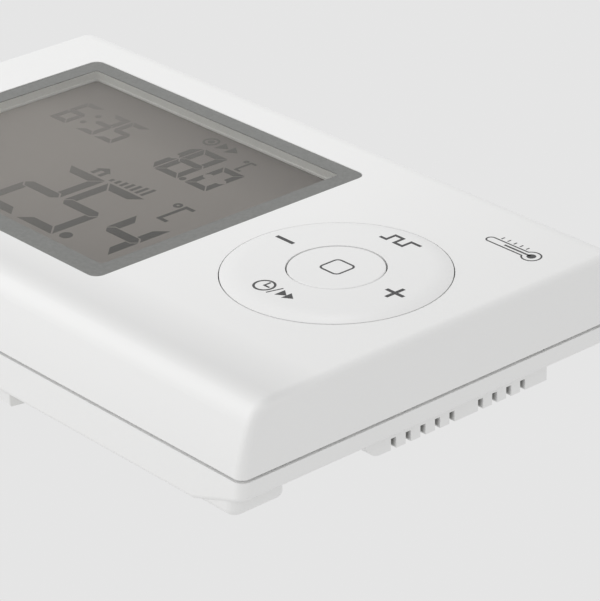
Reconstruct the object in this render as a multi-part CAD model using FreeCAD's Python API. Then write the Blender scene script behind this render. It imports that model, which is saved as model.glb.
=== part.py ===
import FreeCAD, Part
import math
import os

# Wall thermostat, millimetres. X runs to the right, Z up, and the wall is the plane Y = 0.
# Every depth below is a distance out from the wall, so a depth d lies at Y = -d.

# ---- overall sizes
WIDTH = 146.0
HEIGHT = 90.8
DEPTH = 24.0            # wall to the flat front face
BACK = 3.5              # wall to the rear housing's back plane
PARTING = 10.6          # wall to the joint line between the two shells
JOINT_GAP = 0.58        # shadow groove between the shells
WALL = 2.0              # shell walls
FACE_EXTRA = 0.2        # front face, thicker than the other walls
CORNER_R = 1.8          # plan corners of both shells
END_EDGE_R = 1.3        # crisp edge round the ends of the cover
DRAFT_FOOT = 4.0        # lean of the long sides at the joint line, degrees
DRAFT_SHOULDER = 20.5   # lean where the rounded shoulder starts, degrees
SHOULDER_DEPTH = 3.65   # face down to the start of the shoulder

# ---- rear housing
END_WALL = 3.2          # height of the vertical end wall below the joint line
SLOPE_RUN = 12.0        # how far in the sloped underside reaches the back plane
LIP = 1.6               # locating lip inside the cover
LIP_WALL = 1.0
LIP_ROOT = 0.8          # how far the lip is sunk into the rear shell
FOOT_INSET = 2.2        # foot in from the end
FOOT_FLUSH = 0.5        # and in from the long side, level with the leaning wall
FOOT_LONG = 10.0
FOOT_TALL = 11.4
FOOT_R = 1.9
FOOT_RIM_R = 1.2
REAR_EDGE_R = 0.8       # softened outer edges of the rear shell
BOSS_R = 3.2
BOSS_IN_X = 6.8         # screw axis in from the end
BOSS_IN_Z = 5.9         # screw axis in from the long side
SCREW_R = 1.2
SCREW_HEAD_R = 2.1
SCREW_HEAD = 1.5
SCREW_SINK = 1.0        # head below the sloped underside
SCREW_PLAY = 0.15
THREAD_ROOM = 1.0       # drilled past a screw's tip
TOP_SKIN = 1.5          # plastic left over a screw hole
DRIVE_LONG = 2.6
DRIVE_WIDE = 0.5
DRIVE_DEEP = 0.6
VENT_Z = 4.8            # middle of the row of vent slots
VENT_PITCH = 3.35
VENT_SLOT = 1.2
VENT_PLACES = 10
VENT_BLANK = 5          # the place in the row that stays solid
VENT_TALL = 2.1
VENT_IN = 2.5           # width of the openings from the slots up into the case
RIDGE_THICK = 6.4
RIDGE_WEB = 1.0         # closed inner side of the ridge
RIDGE_INSET = 2.0
RIDGE_LOW = 21.4        # ends of the ridge, from the middle of its slots
RIDGE_HIGH = 20.9
RIDGE_END_R = 3.4

# ---- display
DISPLAY_W = 78.8
DISPLAY_H = 62.6
DISPLAY_RIGHT = 53.6    # right end of the body to the display
DISPLAY_R = 2.0
BORDER = 3.9            # width of the printed border
BORDER_SINK = 0.08
FILM = 0.12
APERTURE_UP = 0.5       # the clear part sits this much above the middle
APERTURE_R = 0.7
PANE = 1.6
PANE_LEDGE = 0.2        # ledge that the pane rests on
FRAME_LAP = 2.0         # how far the carrier reaches behind the front face
POCKET_IN = 0.6         # walls of the carrier's pocket, in from the display's outline
GLASS_DEPTH = 2.2       # front face to the display glass
GLASS = 2.2
GUIDE = 1.8
GUIDE_CLEAR = 0.5       # between the light guide and the strips beside it
ZEBRA = 2.0             # width of the elastomer strips
ZEBRA_LONG = 72.5
LED = 1.4
LED_LONG = 3.0
LED_ROOM = 2.2          # space for the LEDs at the light guide's right edge
LED_Z = 12.0
SLIP = 0.1              # clearance round parts dropped into a pocket

# ---- keys
KEY_IN = 27.1           # ring centre in from the right end
KEY_PROUD = 0.9
KEY_TOP = 1.2           # top plates of the keys
KEY_RIM = 0.05          # the ring's outer edge above the face
KEY_SHOULDER = 3.6      # width over which the ring rises to its flat top
SKIRT = 1.1
RING_R = 20.0
RING_GAP = 0.2
FLANGE_LAP = 1.5        # flange past the ring's outer edge, behind the cover
FLANGE = 0.9
FLANGE_DROP = 0.95      # flange top below the cover's inner face
BUTTON_R = 8.5
BUTTON_GAP = 0.25
BUTTON_EDGE_R = 0.27
BUTTON_LAP = 1.4        # button's flange past its side
BUTTON_FLANGE = 0.7
BUTTON_FLANGE_DEPTH = 4.3
GUIDE_PLAY = 0.06
COLLAR_WALL = 0.84
GIMBAL_CLEAR = 0.2
GIMBAL_WIDE = 1.4
GIMBAL_THICK = 1.6
PIVOT_DEPTH = 3.0       # tilt axes below the front face
PIN_R = 0.6
PIN_PLAY = 0.05
BEARING = 1.4
BEARING_WIDE = 3.0
BEARING_WALL = 0.7      # past the pin, away from the block's foot
BEARING_CLEAR = 0.3
NUB_OUT = 3.2           # nubs out from the bearings
NUB_R = 1.1
NUB_DEPTH = 4.65
DOME_DEPTH = 5.15
DOME_FLARE = 1.0
DOME_CLEAR = 1.2
BUTTON_NUB_R = 1.76

# ---- board and what is on it; the places are X and Z on the board's back
BOARD_DEPTH = 6.4       # front face to the board
BOARD = 1.6
BOARD_CLEAR_X = 3.0     # board to the end walls
BOARD_CLEAR_Z = 8.5     # board to the long walls, past the screw bosses
BOARD_R = 1.5
POST_IN_X = 3.0         # posts in from the board's edges
POST_IN_Z = 5.5
POST_R = 2.6
SMALL_SCREW_R = 0.84
MAT = 0.5
KEYPLATE = 0.8
KEYPLATE_SIZE = 42.0
KEYPLATE_R = 3.0
MICRO_AT = (30.0, 14.0)
MICRO = 10.0
MICRO_TALL = 1.4
MICRO_LIFT = 0.1
LEG_PITCH = 0.8
LEGS = 11
LEG_WIDE = 0.35
LEG_LONG = 1.2
CRYSTAL_AT = (30.0, 25.0)
RELAY_AT = (-35.0, 4.0)
RELAY_EDGE_R = 0.5
CAP_AT = (50.0, 22.0)
CAP_R = 3.15
CAP_TALL = 7.2
CHIP_LONG = 2.0
CHIP_WIDE = 1.2
CHIP_TALL = 0.6
CHIP_PITCH = 4.0
CHIP_GRID_AT = (42.0, 6.0)
CHIP_ROW_AT = (-54.0, 26.0)
SENSOR_IN = 8.5         # sensor in from the right end
SENSOR_UP = 8.0         # and above the middle of the vents
SENSOR_TALL = 5.0
SENSOR_R = 1.5
SENSOR_LEG_R = 0.3

# ---- terminals
TERM_POLES = 4
TERM_PITCH = 5.0
TERM_MARGIN = 0.25
TERM_H = 9.0
TERM_TALL = 9.6
TERM_UP = 0.5           # block above the middle of the cable opening
ENTRY_WIDE = 3.4
ENTRY_LOW = 2.6         # entry's near and far side, from the board
ENTRY_HIGH = 6.4
ENTRY_LONG = 6.0
WELL_R = 1.7
WELL_Z = -0.5           # screws below the middle of the block
CAGE_WALL = 0.4
CAGE_SLIP = 0.1
CLAMP_SCREW_R = 1.0
CLAMP_HEAD_R = 1.6

# ---- wall plate
PLATE_W = 116.0
PLATE_H = 74.0
PLATE = 3.0
PLATE_R = 6.0
TAB_W = 30.0
TAB_OUT = 6.4
TAB_SLOPE = 5.5
TAB_ROOT = 6.0
HOLE_PITCH = 60.0
HOLE_R = 2.1
SLOT_LONG = 8.0
SINK_WIDE = 1.8         # countersunk step round the slotted holes
SINK_DEEP = 1.2
CABLE_W = 34.0
CABLE_H = 18.0
CABLE_R = 3.0
CABLE_Z = 15.0
CABLE_REBATE_X = 6.0    # rear shell's cable window inside the plate's
CABLE_REBATE_Z = 2.5
HOOK_X = 44.0
HOOK_Z = 23.0
HOOK_W = 4.0
HOOK_T = 3.0
HOOK_HEAD_W = 8.0
HOOK_HEAD = 1.2
HOOK_PLAY = 0.3
LIFT = 6.0

# ---- batteries
CELL_R = 5.25
CELL_L = 44.5
CELL_NOSE_R = 1.9
CELL_NOSE = 1.0
CELL_PLAY = 0.35
BAY_WALL = 1.2
BAY_L = 52.0
BAY_Z = -26.0
CONTACT = 0.4
CONTACT_WIDE = 8.0
SPRING_R = 3.2
SPRING_WIRE_R = 0.35
SPRING_TAPER = 0.5
SPRING_TURNS = 3
STUD_TURNS = 2
SPRING_CLEAR = 0.05
OVERLAP = 0.5           # shapes that become one solid sink into each other by this
PAST = 1.0              # cutters run past a face by this

# ---- worked out once
HALF_W = WIDTH / 2
HALF_H = HEIGHT / 2
FACE_WALL = WALL + FACE_EXTRA
INNER_FACE = DEPTH - FACE_WALL
FLOOR = BACK + WALL
SIDE_LEAN = (PARTING - BACK) * math.tan(math.radians(DRAFT_FOOT))
MOUTH_H = HEIGHT - 2 * SIDE_LEAN
END_LOW = PARTING - END_WALL
FLAT_X = HALF_W - SLOPE_RUN
SLOPE = (END_LOW - BACK) / SLOPE_RUN
SCREW_SEAT = BACK + (SLOPE_RUN - BOSS_IN_X) * SLOPE + SCREW_SINK + SCREW_HEAD  # under the heads

DISPLAY_X = HALF_W - DISPLAY_RIGHT - DISPLAY_W / 2
APERTURE_W = DISPLAY_W - 2 * BORDER
APERTURE_H = DISPLAY_H - 2 * BORDER
FILM_FRONT = DEPTH - BORDER_SINK
PANE_FRONT = FILM_FRONT - FILM
PANE_BACK = PANE_FRONT - PANE
GLASS_FRONT = DEPTH - GLASS_DEPTH
GLASS_BACK = GLASS_FRONT - GLASS
GUIDE_BACK = GLASS_BACK - GUIDE
POCKET_W = DISPLAY_W - 2 * POCKET_IN
POCKET_H = DISPLAY_H - 2 * POCKET_IN

KEY_X = HALF_W - KEY_IN
KEY_FRONT = DEPTH + KEY_PROUD
KEY_UNDER = KEY_FRONT - KEY_TOP
PIVOT = DEPTH - PIVOT_DEPTH
RING_BORE = BUTTON_R + BUTTON_GAP
BUTTON_FLANGE_R = BUTTON_R + BUTTON_LAP
BUTTON_FLANGE_TOP = DEPTH - BUTTON_FLANGE_DEPTH
COLLAR_R = BUTTON_FLANGE_R + GUIDE_PLAY + COLLAR_WALL
GIMBAL_IN = COLLAR_R + GIMBAL_CLEAR
GIMBAL_OUT = GIMBAL_IN + GIMBAL_WIDE
BEARING_AT = GIMBAL_OUT + BEARING_CLEAR + BEARING / 2
NUB_AT = BEARING_AT + NUB_OUT

BOARD_FRONT = DEPTH - BOARD_DEPTH
BOARD_BACK = BOARD_FRONT - BOARD
BOARD_W = WIDTH - 2 * WALL - 2 * BOARD_CLEAR_X
BOARD_H = HEIGHT - 2 * WALL - 2 * BOARD_CLEAR_Z
POST_X = BOARD_W / 2 - POST_IN_X
POST_Z = BOARD_H / 2 - POST_IN_Z
TERM_Z = CABLE_Z + TERM_UP
TERM_BACK = BOARD_BACK - TERM_TALL

CELL_DEPTH = BACK + CELL_PLAY + CELL_R
CELL_PITCH = 2 * CELL_R + CELL_PLAY
BAY_TOP = CELL_DEPTH + CELL_R + CELL_PLAY
BAY_H = 4 * CELL_R + 3 * CELL_PLAY
SAME = 1e-4             # two coordinates closer than this are equal
OUT = FreeCAD.Vector(0, -1, 0)
ALONG = FreeCAD.Vector(1, 0, 0)
UP = FreeCAD.Vector(0, 0, 1)


def vec(x, depth, z):
    return FreeCAD.Vector(x, -depth, z)


def box(x0, x1, d0, d1, z0, z1):
    """A block between two depths."""
    return Part.makeBox(x1 - x0, d1 - d0, z1 - z0, vec(x0, d1, z0))


def block(width, height, d0, d1, x=0.0, z=0.0):
    """A block centred on a place."""
    return box(x - width / 2, x + width / 2, d0, d1, z - height / 2, z + height / 2)


def rod(radius, d0, d1, x, z):
    """A cylinder that stands out of the wall."""
    return Part.makeCylinder(radius, d1 - d0, vec(x, d0, z), OUT)


def tube(outer, inner, d0, d1, x, z):
    return rod(outer, d0, d1, x, z).cut(rod(inner, d0 - PAST, d1 + PAST, x, z))


def plate(width, height, radius, d0, d1, x=0.0, z=0.0):
    """A slab with rounded plan corners."""
    slab = block(width, height, d0, d1, x, z)
    upright = [e for e in slab.Edges if e.BoundBox.XLength < SAME and e.BoundBox.ZLength < SAME]
    return slab.makeFillet(radius, upright)


def prism(points, run):
    """Closed outline of points, pushed along the vector run."""
    face = Part.Face(Part.makePolygon(points + points[:1]))
    return face.extrude(run)


def union(shapes):
    whole = shapes[0]
    for shape in shapes[1:]:
        whole = whole.fuse(shape)
    return whole.removeSplitter()


def corners(x, z):
    """The four places at plus and minus x and z."""
    return [(sx * x, sz * z) for sx in (-1, 1) for sz in (-1, 1)]


def both_sides(solid):
    """A solid and its mirror image at the other end of the case."""
    return [solid, solid.mirror(FreeCAD.Vector(0, 0, 0), ALONG)]


def circles_at(shape, radius, depth):
    """Circular edges with this radius at this depth."""
    found = []
    for edge in shape.Edges:
        round_edge = isinstance(edge.Curve, Part.Circle)
        if round_edge and abs(edge.Curve.Radius - radius) < SAME and abs(edge.Curve.Center.y + depth) < SAME:
            found.append(edge)
    return found


def group(shapes):
    return Part.makeCompound(shapes)


def save(shape, name):
    for solid in shape.Solids:
        if not solid.isValid():
            print("not valid:", name)
    shape.exportStep("parts/" + name + ".step")
    print(name, len(shape.Solids), round(shape.Volume, 1))


# ---------------------------------------------------------------- front cover
def cover_section(inset):
    """Half outline from the joint line up the long side, over the shoulder, to the middle.

    The side is one long arc whose lean grows from DRAFT_FOOT to DRAFT_SHOULDER, and the
    shoulder is a tangent arc that ends square on the face. Insetting moves both arcs in.
    """
    foot = math.radians(DRAFT_FOOT)
    lean = math.radians(DRAFT_SHOULDER)
    rise = DEPTH - SHOULDER_DEPTH - PARTING
    side_r = rise / (math.sin(lean) - math.sin(foot))
    shoulder_r = SHOULDER_DEPTH / (1 - math.sin(lean))
    base = HALF_H - SIDE_LEAN
    side_centre_z = base - side_r * math.cos(foot)
    side_centre_d = PARTING - side_r * math.sin(foot)

    def on_side(angle):
        reach = side_r - inset
        return side_centre_z + reach * math.cos(angle), side_centre_d + reach * math.sin(angle)

    start_z, start_d = on_side(foot)
    mid_z, mid_d = on_side((foot + lean) / 2)
    top_z, top_d = on_side(lean)
    small = max(shoulder_r - inset, 0.5)
    centre_z = top_z - small * math.cos(lean)
    centre_d = top_d - small * math.sin(lean)
    half = (lean + math.pi / 2) / 2
    arc_mid = (centre_z + small * math.cos(half), centre_d + small * math.sin(half))
    arc_end = (centre_z, centre_d + small)
    return (start_z, start_d), (mid_z, mid_d), (top_z, top_d), arc_mid, arc_end


def cover_core(x0, x1, inset, foot_depth):
    """Solid whose section is the cover's outline, inset by a wall, between two ends."""
    start, mid, top, arc_mid, end = cover_section(inset)

    def point(pair, side):
        return vec(x0, pair[1], side * pair[0])

    edges = []
    for side in (-1, 1):
        edges.append(Part.Arc(point(start, side), point(mid, side), point(top, side)).toShape())
        edges.append(Part.Arc(point(top, side), point(arc_mid, side), point(end, side)).toShape())
        edges.append(Part.makeLine(point(start, side), vec(x0, foot_depth, side * start[0])))
    edges.append(Part.makeLine(point(end, -1), point(end, 1)))
    edges.append(Part.makeLine(vec(x0, foot_depth, -start[0]), vec(x0, foot_depth, start[0])))
    wire = Part.Wire(Part.__sortEdges__(edges))
    return Part.Face(wire).extrude(FreeCAD.Vector(x1 - x0, 0, 0))


def boss_places():
    return corners(HALF_W - BOSS_IN_X, HALF_H - BOSS_IN_Z)


def post_places():
    return corners(POST_X, POST_Z)


def edge_radius(depth):
    """Radius round the ends of the cover: plan corners soften into a crisp edge at the face."""
    start = DEPTH - SHOULDER_DEPTH
    if depth >= start:
        return END_EDGE_R
    share = max(depth - PARTING, 0) / (start - PARTING)
    return CORNER_R + (END_EDGE_R - CORNER_R) * share


def round_ends(solid):
    """Fillet both end outlines with a radius that changes along the edges."""
    document = FreeCAD.newDocument("ends")
    base = document.addObject("Part::Feature", "base")
    base.Shape = solid
    fillet = document.addObject("Part::Fillet", "fillet")
    fillet.Base = base
    picked = []
    for number, edge in enumerate(solid.Edges, 1):
        first = edge.valueAt(edge.FirstParameter)
        last = edge.valueAt(edge.LastParameter)
        at_end = abs(abs(first.x) - HALF_W) < SAME and abs(first.x - last.x) < SAME
        on_foot = abs(first.y + last.y + 2 * (PARTING + JOINT_GAP)) < SAME
        if at_end and not on_foot:
            picked.append((number, edge_radius(-first.y), edge_radius(-last.y)))
    fillet.Edges = picked
    document.recompute()
    rounded = fillet.Shape.copy()
    FreeCAD.closeDocument(document.Name)
    return rounded


def cover_skin():
    """Outer form: leaning sides, rounded shoulders, flat ends with a crisp edge."""
    outer = cover_core(-HALF_W, HALF_W, 0.0, PARTING - PAST)
    outer = outer.cut(block(2 * WIDTH, 2 * HEIGHT, 0, PARTING + JOINT_GAP))
    return round_ends(outer)


def cover_hollow(inset):
    return cover_core(-HALF_W + inset, HALF_W - inset, inset, PARTING - PAST)


def front_cover():
    """Shell with a rebate for the rear shell's lip, screw bosses, board posts and two openings."""
    room = cover_hollow(WALL).common(block(2 * WIDTH, 2 * HEIGHT, 0, INNER_FACE))
    shell = cover_skin().cut(room)
    shell = shell.cut(plate(WIDTH - 2 * LIP_WALL, MOUTH_H - 2 * LIP_WALL, CORNER_R - LIP_WALL,
                            PARTING - PAST, PARTING + LIP + JOINT_GAP))
    inside = cover_hollow(WALL / 4)
    for x, z in boss_places():
        shell = shell.fuse(rod(BOSS_R, PARTING + JOINT_GAP, INNER_FACE + OVERLAP, x, z).common(inside))
        shell = shell.cut(rod(SCREW_R, PARTING - PAST, INNER_FACE - TOP_SKIN, x, z))
    for x, z in post_places():
        shell = shell.fuse(rod(POST_R, BOARD_FRONT, INNER_FACE + OVERLAP, x, z))
        shell = shell.cut(rod(SMALL_SCREW_R, BOARD_FRONT - PAST, INNER_FACE - SLIP, x, z))
    shell = shell.cut(plate(DISPLAY_W, DISPLAY_H, DISPLAY_R, INNER_FACE - PAST, DEPTH + PAST, DISPLAY_X))
    return shell.cut(rod(RING_R + RING_GAP, INNER_FACE - PAST, DEPTH + PAST, KEY_X, 0)).removeSplitter()


# --------------------------------------------------------------- rear housing
def housing_block(inset):
    """The rear shell's outer block, or its hollow when inset by a wall."""
    half = HALF_W - inset
    low = BACK + inset
    stretch = math.sqrt(1 + SLOPE * SLOPE)
    end_low = END_LOW + inset * (stretch - SLOPE)
    flat = FLAT_X - inset * (stretch - 1) / SLOPE
    outline = [
        vec(-half, PARTING, -HEIGHT),
        vec(half, PARTING, -HEIGHT),
        vec(half, end_low, -HEIGHT),
        vec(flat, low, -HEIGHT),
        vec(-flat, low, -HEIGHT),
        vec(-half, end_low, -HEIGHT),
    ]
    across = prism(outline, UP * (2 * HEIGHT))
    high = HALF_H - inset
    mouth = high - SIDE_LEAN
    sides = [
        vec(-half, PARTING, -mouth),
        vec(-half, PARTING, mouth),
        vec(-half, BACK, high),
        vec(-half, BACK, -high),
    ]
    whole = across.common(prism(sides, ALONG * (2 * half)))
    uprights = [e for e in whole.Edges if abs(abs(e.BoundBox.Center.x) - half) < SAME
                and e.BoundBox.ZLength < e.BoundBox.YLength]
    return whole.makeFillet(max(CORNER_R - inset, CORNER_R / 2), uprights)


def raised(solid, by):
    """The solid and a copy moved out from the wall, joined."""
    return solid.fuse(solid.translated(OUT * by))


def soften(solid):
    """Round the outer edges that face the wall, apart from the creases across the back."""
    picked = []
    for edge in solid.Edges:
        extent = edge.BoundBox
        crease = extent.XLength < SAME and abs(abs(extent.XMin) - FLAT_X) < SAME
        if -extent.YMin < END_LOW + SAME and not crease:
            picked.append(edge)
    return solid.makeFillet(REAR_EDGE_R, picked)


def foot():
    """Right-hand foot, at a lower corner."""
    x = HALF_W - FOOT_INSET - FOOT_LONG / 2
    z = FOOT_TALL / 2 + FOOT_FLUSH - HALF_H
    body = plate(FOOT_LONG, FOOT_TALL, FOOT_R, BACK, END_LOW + WALL / 2, x, z)
    rims = [e for e in body.Edges if e.BoundBox.YLength < SAME and abs(e.BoundBox.YMax + BACK) < SAME]
    return body.makeFillet(FOOT_RIM_R, rims)


def ridge():
    """Right-hand wall for the vent slots, on the sloped underside, with a rounded lower end."""
    x = HALF_W - RIDGE_INSET
    low = VENT_Z - RIDGE_LOW
    body = box(x - RIDGE_THICK, x, BACK, END_LOW + WALL / 2, low, VENT_Z + RIDGE_HIGH)
    ends = [e for e in body.Edges if e.BoundBox.YMin > -BACK - SAME and e.BoundBox.ZMax < low + SAME]
    return body.makeFillet(RIDGE_END_R, ends)


def vent_cuts():
    """Slots in the right-hand ridge, and the openings from their inner ends up into the case."""
    cuts = []
    first = VENT_Z - VENT_PITCH * (VENT_PLACES - 1) / 2
    slot_end = HALF_W - RIDGE_INSET - RIDGE_THICK + RIDGE_WEB
    for place in range(VENT_PLACES):
        if place == VENT_BLANK:
            continue
        low = first + place * VENT_PITCH - VENT_SLOT / 2
        high = low + VENT_SLOT
        cuts.append(box(slot_end, HALF_W, BACK - PAST, BACK + VENT_TALL, low, high))
        cuts.append(box(slot_end, slot_end + VENT_IN, BACK, PARTING, low, high))
    return cuts


def hook_places():
    return corners(HOOK_X, HOOK_Z)


def keyhole(x, z):
    """Slot that drops over a hook's head and then slides down behind it."""
    wide = HOOK_HEAD_W + 2 * HOOK_PLAY
    narrow = HOOK_W + 2 * HOOK_PLAY
    bottom = z - HOOK_T / 2 - LIFT
    top = z + HOOK_T / 2 + HOOK_PLAY
    neck = box(x - narrow / 2, x + narrow / 2, BACK - PAST, FLOOR + PAST, bottom, top)
    entry = box(x - wide / 2, x + wide / 2, BACK - PAST, FLOOR + PAST, bottom - HOOK_PLAY, top - LIFT)
    return neck.fuse(entry)


def rear_lip():
    """Lip that locates the rear shell inside the cover."""
    outer = plate(WIDTH - 2 * LIP_WALL - 2 * SLIP, MOUTH_H - 2 * LIP_WALL - 2 * SLIP, CORNER_R - LIP_WALL,
                  PARTING - LIP_ROOT, PARTING + LIP)
    inner = plate(WIDTH - 4 * LIP_WALL, MOUTH_H - 4 * LIP_WALL, CORNER_R / 2,
                  PARTING - LIP_ROOT - PAST, PARTING + LIP + PAST)
    return outer.cut(inner)


def screw_boss(x, z):
    """Post from the underside to the joint line, kept inside the wall."""
    post = rod(BOSS_R, BACK, PARTING + JOINT_GAP, x, z)
    return post.common(raised(housing_block(WALL / 2), JOINT_GAP))


def rear_housing():
    """Shell with sloped ends, lip, feet, vent ridges, screw bosses, battery bay and keyholes."""
    shell = soften(housing_block(0.0)).cut(raised(housing_block(WALL), JOINT_GAP))
    shell = union([shell, rear_lip()] + both_sides(foot()) + both_sides(ridge()))
    for cutter in vent_cuts():
        for side in both_sides(cutter):
            shell = shell.cut(side)
    for x, z in boss_places():
        shell = shell.fuse(screw_boss(x, z))
    for x, z in boss_places():
        shell = shell.cut(rod(SCREW_R + SCREW_PLAY, BACK - PAST, PARTING + JOINT_GAP + PAST, x, z))
        shell = shell.cut(rod(SCREW_HEAD_R + SCREW_PLAY, BACK - PAST, SCREW_SEAT, x, z))
    bay = block(BAY_L + 2 * BAY_WALL, BAY_H + 2 * BAY_WALL, BACK, BAY_TOP + BAY_WALL, 0, BAY_Z)
    shell = shell.fuse(bay).cut(block(BAY_L, BAY_H, BACK - PAST, BAY_TOP, 0, BAY_Z))
    for x, z in hook_places():
        shell = shell.cut(keyhole(x, z))
    window = plate(CABLE_W - 2 * CABLE_REBATE_X, CABLE_H - 2 * CABLE_REBATE_Z, CABLE_R / 2,
                   BACK - PAST, FLOOR + PAST, 0, CABLE_Z)
    return shell.cut(window).removeSplitter()


def drive(x, z, head_depth, crossed):
    """Cutter for a screw head's slot, or cross."""
    slot = block(DRIVE_LONG, DRIVE_WIDE, head_depth - PAST, head_depth + DRIVE_DEEP, x, z)
    if not crossed:
        return slot
    return slot.fuse(block(DRIVE_WIDE, DRIVE_LONG, head_depth - PAST, head_depth + DRIVE_DEEP, x, z))


def screw(x, z, radius, head_radius, head_depth, head, tip, crossed=False):
    """Screw with its head towards the wall."""
    body = rod(head_radius, head_depth, head_depth + head, x, z)
    body = body.fuse(rod(radius, head_depth + head / 2, tip, x, z)).removeSplitter()
    return body.cut(drive(x, z, head_depth, crossed))


def housing_screws():
    tip = INNER_FACE - TOP_SKIN - THREAD_ROOM
    return group([screw(x, z, SCREW_R, SCREW_HEAD_R, SCREW_SEAT - SCREW_HEAD, SCREW_HEAD, tip, True)
                  for x, z in boss_places()])


# -------------------------------------------------------------------- display
def aperture(shrink, d0, d1):
    """Slab that fills the clear part of the display, shrunk a little all round."""
    return plate(APERTURE_W - 2 * shrink, APERTURE_H - 2 * shrink, APERTURE_R, d0, d1, DISPLAY_X, APERTURE_UP)


def display_slab(grow, d0, d1):
    """Slab with the display's outline, grown all round."""
    return plate(DISPLAY_W + 2 * grow, DISPLAY_H + 2 * grow, DISPLAY_R, d0, d1, DISPLAY_X)


def window_film():
    """Grey border printed on a thin film, over the carrier's rim."""
    return display_slab(-SLIP, PANE_FRONT, FILM_FRONT).cut(aperture(0, PANE_FRONT - PAST, FILM_FRONT + PAST))


def display_window():
    """Clear pane, dropped into the carrier's rim."""
    return aperture(SLIP / 2, PANE_BACK, PANE_FRONT)


def lcd_frame():
    """Carrier from the cover to the board, with a rim up to the border and a pocket for the glass."""
    body = display_slab(FRAME_LAP, BOARD_FRONT, INNER_FACE)
    body = body.fuse(display_slab(-SLIP, INNER_FACE, PANE_FRONT))
    body = body.cut(aperture(0, PANE_BACK, PANE_FRONT + PAST))
    body = body.cut(aperture(PANE_LEDGE, GLASS_FRONT - PAST, PANE_BACK + PAST))
    return body.cut(block(POCKET_W, POCKET_H, BOARD_FRONT - PAST, GLASS_FRONT, DISPLAY_X)).removeSplitter()


def lcd_panel():
    return block(POCKET_W - 2 * SLIP, POCKET_H - 2 * SLIP, GLASS_BACK, GLASS_FRONT, DISPLAY_X)


def zebra_strips():
    """Elastomer connectors between the glass's long edges and the board."""
    z = POCKET_H / 2 - SLIP - ZEBRA / 2
    return group([block(ZEBRA_LONG, ZEBRA, BOARD_FRONT, GLASS_BACK, DISPLAY_X, side * z) for side in (-1, 1)])


def light_guide():
    """Clear slab behind the glass, short on the right where the LEDs shine into it."""
    height = POCKET_H - 2 * SLIP - 2 * ZEBRA - 2 * GUIDE_CLEAR
    left = DISPLAY_X - POCKET_W / 2 + SLIP
    right = DISPLAY_X + POCKET_W / 2 - LED_ROOM
    return box(left, right, GUIDE_BACK, GLASS_BACK, -height / 2, height / 2)


def backlight_leds():
    x = DISPLAY_X + POCKET_W / 2 - LED_ROOM / 2
    return group([block(LED, LED_LONG, BOARD_FRONT, BOARD_FRONT + LED, x, side * LED_Z) for side in (-1, 1)])


# ----------------------------------------------------------------------- keys
def key_nubs():
    return [(KEY_X + NUB_AT, 0), (KEY_X - NUB_AT, 0), (KEY_X, NUB_AT), (KEY_X, -NUB_AT)]


def bearing_block(x, z, pin_way, d0, d1):
    """Block with a hole for one tilt pin, which runs along the vector pin_way."""
    across = abs(pin_way.x) > SAME
    width, height = (BEARING, BEARING_WIDE) if across else (BEARING_WIDE, BEARING)
    start = vec(x, PIVOT, z) - pin_way * BEARING
    hole = Part.makeCylinder(PIN_R + PIN_PLAY, 2 * BEARING, start, pin_way)
    return block(width, height, d0, d1, x, z).cut(hole)


def ring_top():
    """Top plate of the ring key, turned: its edge lies almost on the face and an arc rises to the flat."""
    rim = DEPTH + KEY_RIM
    drop = KEY_FRONT - rim
    arc_r = (KEY_SHOULDER ** 2 + drop ** 2) / (2 * drop)
    sweep = math.asin(KEY_SHOULDER / arc_r) / 2
    inner = RING_R - KEY_SHOULDER

    def at(radius, depth):
        return vec(KEY_X + radius, depth, 0)

    middle = at(inner + arc_r * math.sin(sweep), KEY_FRONT - arc_r * (1 - math.cos(sweep)))
    edges = [
        Part.makeLine(at(RING_BORE, KEY_UNDER), at(RING_BORE, KEY_FRONT)),
        Part.makeLine(at(RING_BORE, KEY_FRONT), at(inner, KEY_FRONT)),
        Part.Arc(at(inner, KEY_FRONT), middle, at(RING_R, rim)).toShape(),
        Part.makeLine(at(RING_R, rim), at(RING_R, rim - KEY_TOP)),
        Part.makeLine(at(RING_R, rim - KEY_TOP), at(inner, KEY_UNDER)),
        Part.makeLine(at(inner, KEY_UNDER), at(RING_BORE, KEY_UNDER)),
    ]
    return Part.Face(Part.Wire(edges)).revolve(vec(KEY_X, 0, 0), OUT, 360)


def nav_ring():
    """Ring key: domed top plate, skirts, flange behind the cover, four nubs and two bearings."""
    flange_top = INNER_FACE - FLANGE_DROP
    flange_low = flange_top - FLANGE
    root = KEY_UNDER + KEY_TOP / 4
    skirt_in = RING_R - SKIRT
    body = ring_top()
    body = body.fuse(tube(RING_R, skirt_in, flange_low, DEPTH + KEY_RIM - KEY_TOP / 2, KEY_X, 0))
    body = body.fuse(tube(RING_R + FLANGE_LAP, skirt_in, flange_low, flange_top, KEY_X, 0))
    body = body.fuse(tube(RING_BORE + SKIRT, RING_BORE, PIVOT, root, KEY_X, 0))
    for x, z in key_nubs():
        body = body.fuse(rod(NUB_R, DEPTH - NUB_DEPTH, root, x, z))
    for side in (-1, 1):
        body = body.fuse(bearing_block(KEY_X, side * BEARING_AT, UP, PIVOT - PIN_R - BEARING_WALL, root))
    return body.removeSplitter()


def ring_gimbal():
    """Annulus with one pair of pins along X and one pair along Z."""
    half = GIMBAL_THICK / 2
    start = GIMBAL_OUT - GIMBAL_WIDE / 2
    reach = BEARING_AT + BEARING / 2 - start
    body = tube(GIMBAL_OUT, GIMBAL_IN, PIVOT - half, PIVOT + half, KEY_X, 0)
    for way in (ALONG, -ALONG, UP, -UP):
        body = body.fuse(Part.makeCylinder(PIN_R, reach, vec(KEY_X, PIVOT, 0) + way * start, way))
    return body.removeSplitter()


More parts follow.
